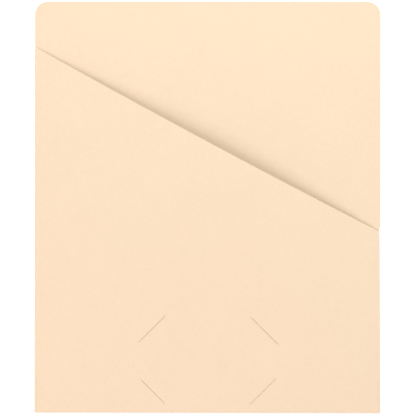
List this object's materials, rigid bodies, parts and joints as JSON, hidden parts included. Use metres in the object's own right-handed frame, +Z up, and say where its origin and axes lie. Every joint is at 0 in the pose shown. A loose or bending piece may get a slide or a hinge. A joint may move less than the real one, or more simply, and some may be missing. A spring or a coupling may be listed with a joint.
{
  "type": "manila folder",
  "caption": "Manila card file folder with a slanted front pocket, rounded top corners and corner slits for a business card; the pocket springs open a little and presses flat.",
  "frame": {"origin": "on the table under the middle of the folder's outline, as it lies on its back", "axes": "+X across the pocket towards the low end of the slant, +Y from the bottom fold to the rounded top edge, +Z up out of the table through the front"},
  "size_m": [0.2508, 0.2984, 0.0094],
  "materials": {
    "manila_card": "matt, uncoated, faintly fibrous",
    "paste": "dry, dull paste film"
  },
  "bodies": {
    "back": {"back_panel": "manila_card", "bottom_fold": "manila_card", "left_side_fold": "manila_card", "right_side_fold": "manila_card", "left_glue_flap": "manila_card", "right_glue_flap": "manila_card", "left_glue_seam": "paste", "right_glue_seam": "paste"},
    "front_lower": {"front_lower_panel": "manila_card"},
    "front_left": {"front_left_panel": "manila_card"},
    "front_right": {"front_right_panel": "manila_card"}
  },
  "joints": [
    {"name": "pocket_opening", "type": "hinge", "parent": "back", "child": "front_lower", "pos_m": [0, -0.14869, 0.00086], "axis": [1, 0, 0], "range_deg": [-2.48, 2.18], "stiffness_Nm_per_rad": 0.3, "springref_deg": 1.27},
    {"name": "left_bend", "type": "hinge", "parent": "front_lower", "child": "front_left", "pos_m": [0.0215, 0.03583, 0.00911], "axis": [-0.6206, -0.7834, -0.034], "range_deg": [-4, 3.51]},
    {"name": "right_bend", "type": "hinge", "parent": "front_lower", "child": "front_right", "pos_m": [0.0215, 0.03583, 0.00911], "axis": [-0.4877, 0.8722, 0.0378], "range_deg": [-5.14, 4.51]}
  ],
  "couplings": [
    {"joint": "left_bend", "follows": "pocket_opening", "ratio": 1.6127},
    {"joint": "right_bend", "follows": "pocket_opening", "ratio": 2.0711}
  ]
}
